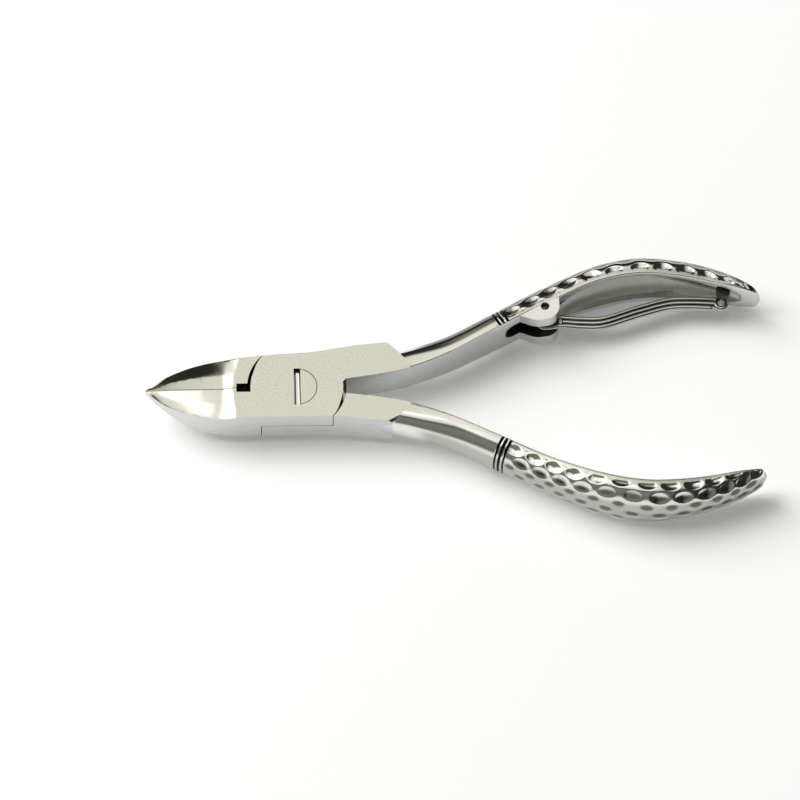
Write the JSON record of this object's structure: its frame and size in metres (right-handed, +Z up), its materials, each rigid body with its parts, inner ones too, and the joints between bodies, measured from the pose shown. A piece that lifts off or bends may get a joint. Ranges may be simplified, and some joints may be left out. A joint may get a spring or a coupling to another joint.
{
  "type": "cuticle nipper",
  "caption": "Lap-joint hand nipper with short pointed jaws, slotted pivot screw, dimpled curved handles and a wire spring stowed along one handle.",
  "frame": {"origin": "on the pivot axis, at the flat underside of the lap joint", "axes": "+X along the closed tool from the pivot to the handle ends, +Y to the sprung handle, +Z up along the pivot axis"},
  "size_m": [0.1146, 0.0528, 0.0116],
  "materials": {
    "polished_steel": "mirror polished, satin on the flat joint faces",
    "ground_steel": "ground flush with the joint, fine satin",
    "spring_wire": "bright drawn wire",
    "black_barrel": "black, slightly glossy"
  },
  "bodies": {
    "sprung_lever": {"lever_a": "polished_steel", "spring_ear_pin": "spring_wire", "spring_anchor_leg": "spring_wire", "catch_barrel": "black_barrel"},
    "plain_lever": {"lever_b": "polished_steel", "pivot_screw": "ground_steel"},
    "working_leg": {"spring_working_leg": "spring_wire"}
  },
  "joints": [
    {"name": "jaw_pivot", "type": "hinge", "parent": "sprung_lever", "child": "plain_lever", "pos_m": [0, 0, 0.0038], "axis": [0, 0, -1], "range_deg": [0, 24]},
    {"name": "spring_leg_swing", "type": "hinge", "parent": "sprung_lever", "child": "working_leg", "pos_m": [0.0464, 0.01538, 0.0025], "axis": [0, 0, -1], "range_deg": [0, 60]}
  ]
}
